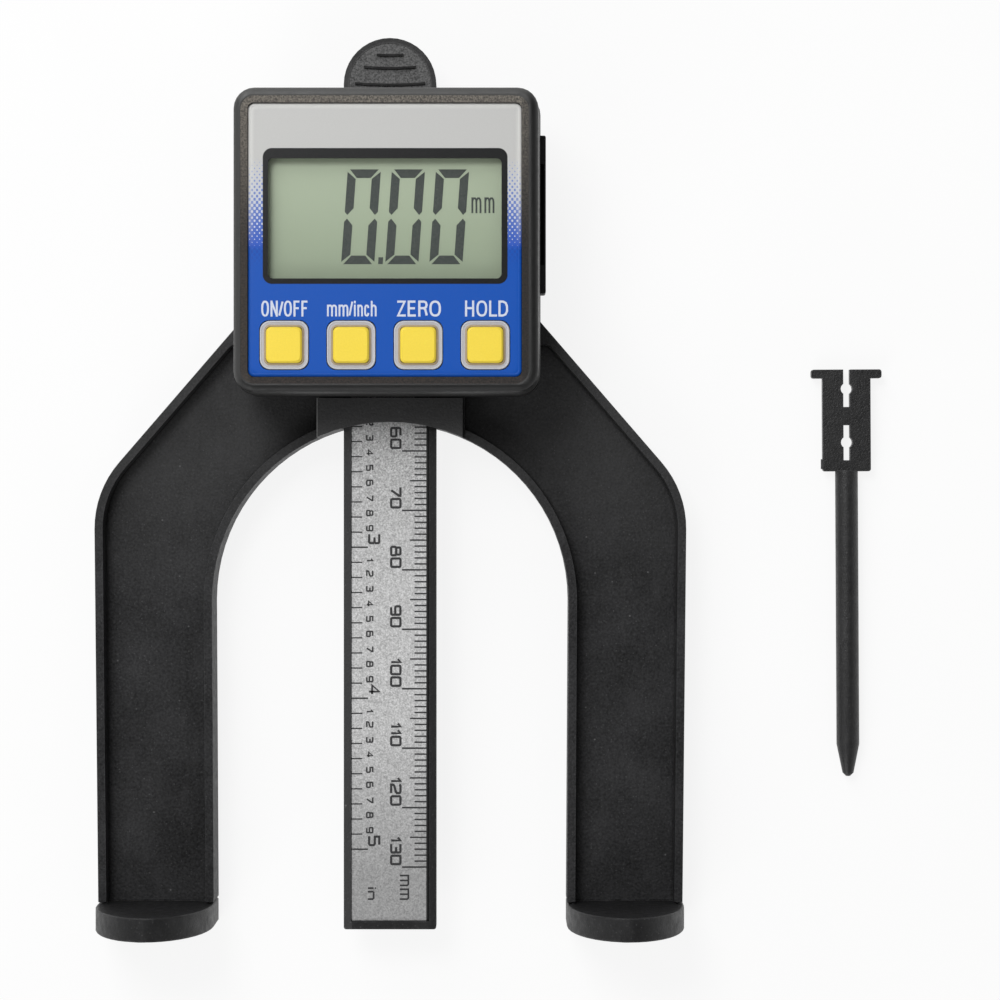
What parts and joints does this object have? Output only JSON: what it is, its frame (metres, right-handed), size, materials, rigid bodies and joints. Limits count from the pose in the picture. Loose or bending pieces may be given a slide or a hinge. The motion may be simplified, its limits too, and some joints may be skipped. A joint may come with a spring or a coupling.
{
  "type": "digital height and depth gauge",
  "caption": "Arch-framed digital height and depth gauge with sliding scale beam, display head, side battery drawer and clip-on depth rod",
  "frame": {"origin": "centre of the beam's measuring tip, level with the soles of the feet", "axes": "+Y up the scale from the soles to the thumb tab, +Z out of the display, so the gauge lies on its back; +X to the reader's right"},
  "size_m": [0.1336, 0.1499, 0.0286],
  "materials": {
    "black_plastic": "fine spark-eroded black plastic",
    "foot_plastic": "smooth black plastic",
    "head_plastic": "fine textured black plastic",
    "drawer_plastic": "black plastic",
    "scale_silver": "printed silver film",
    "face_blue": "printed face film, grey above and blue below",
    "clear_lens": "clear moulded window",
    "display_glass": "green-grey liquid crystal panel",
    "holder_plastic": "white plastic",
    "zebra_rubber": "layered contact rubber",
    "collar_rubber": "light grey rubber",
    "key_yellow": "yellow plastic",
    "board_green": "coated circuit board",
    "chip_epoxy": "black sealing resin",
    "cell_steel": "bright steel can",
    "spring_steel": "bright spring steel",
    "zinc_screw": "zinc plated steel",
    "magnet_nickel": "nickel plated magnet",
    "pin_brass": "plated brass pins"
  },
  "bodies": {
    "gauge": {"frame": "black_plastic", "foot_left": "foot_plastic", "foot_right": "foot_plastic", "foot_magnet_1": "magnet_nickel", "foot_magnet_2": "magnet_nickel", "foot_magnet_3": "magnet_nickel", "foot_magnet_4": "magnet_nickel", "foot_screw_left": "zinc_screw", "foot_screw_right": "zinc_screw", "slide_spring": "spring_steel", "spring_screw": "zinc_screw", "head_rear_case": "head_plastic", "head_front_case": "head_plastic", "face_sheet": "face_blue", "display_lens": "clear_lens", "lcd_panel": "display_glass", "lcd_holder": "holder_plastic", "zebra_strip_lower": "zebra_rubber", "zebra_strip_upper": "zebra_rubber", "keypad_bezel": "collar_rubber", "key_dome_1": "spring_steel", "key_dome_2": "spring_steel", "key_dome_3": "spring_steel", "key_dome_4": "spring_steel", "main_board": "board_green", "sensor_board": "board_green", "pin_header": "pin_brass", "chip_cover": "chip_epoxy", "battery_contact_lower": "spring_steel", "battery_contact_upper": "spring_steel", "case_screw_1": "zinc_screw", "case_screw_2": "zinc_screw", "case_screw_3": "zinc_screw", "case_screw_4": "zinc_screw"},
    "beam": {"measuring_beam": "black_plastic", "scale_board": "board_green", "scale_label": "scale_silver"},
    "on_off_key": {"key_on_off": "key_yellow"},
    "unit_key": {"key_unit": "key_yellow"},
    "zero_key": {"key_zero": "key_yellow"},
    "hold_key": {"key_hold": "key_yellow"},
    "drawer": {"battery_drawer": "drawer_plastic", "battery_cell": "cell_steel"},
    "loose_rod": {"depth_rod": "black_plastic"}
  },
  "joints": [
    {"name": "beam_slide", "type": "slide", "parent": "gauge", "child": "beam", "axis": [0, 1, 0], "range_m": [0, 0.08]},
    {"name": "on_off_press", "type": "slide", "parent": "gauge", "child": "on_off_key", "axis": [0, 0, -1], "range_m": [0, 0.0004], "stiffness_N_per_m": 1500},
    {"name": "unit_press", "type": "slide", "parent": "gauge", "child": "unit_key", "axis": [0, 0, -1], "range_m": [0, 0.0004], "stiffness_N_per_m": 1500},
    {"name": "zero_press", "type": "slide", "parent": "gauge", "child": "zero_key", "axis": [0, 0, -1], "range_m": [0, 0.0004], "stiffness_N_per_m": 1500},
    {"name": "hold_press", "type": "slide", "parent": "gauge", "child": "hold_key", "axis": [0, 0, -1], "range_m": [0, 0.0004], "stiffness_N_per_m": 1500},
    {"name": "drawer_slide", "type": "slide", "parent": "gauge", "child": "drawer", "axis": [1, 0, 0], "range_m": [0, 0.026]},
    {"name": "depth_rod_lift", "type": "slide", "parent": "gauge", "child": "loose_rod", "axis": [0, 0, 1], "range_m": [0, 0.03]}
  ]
}
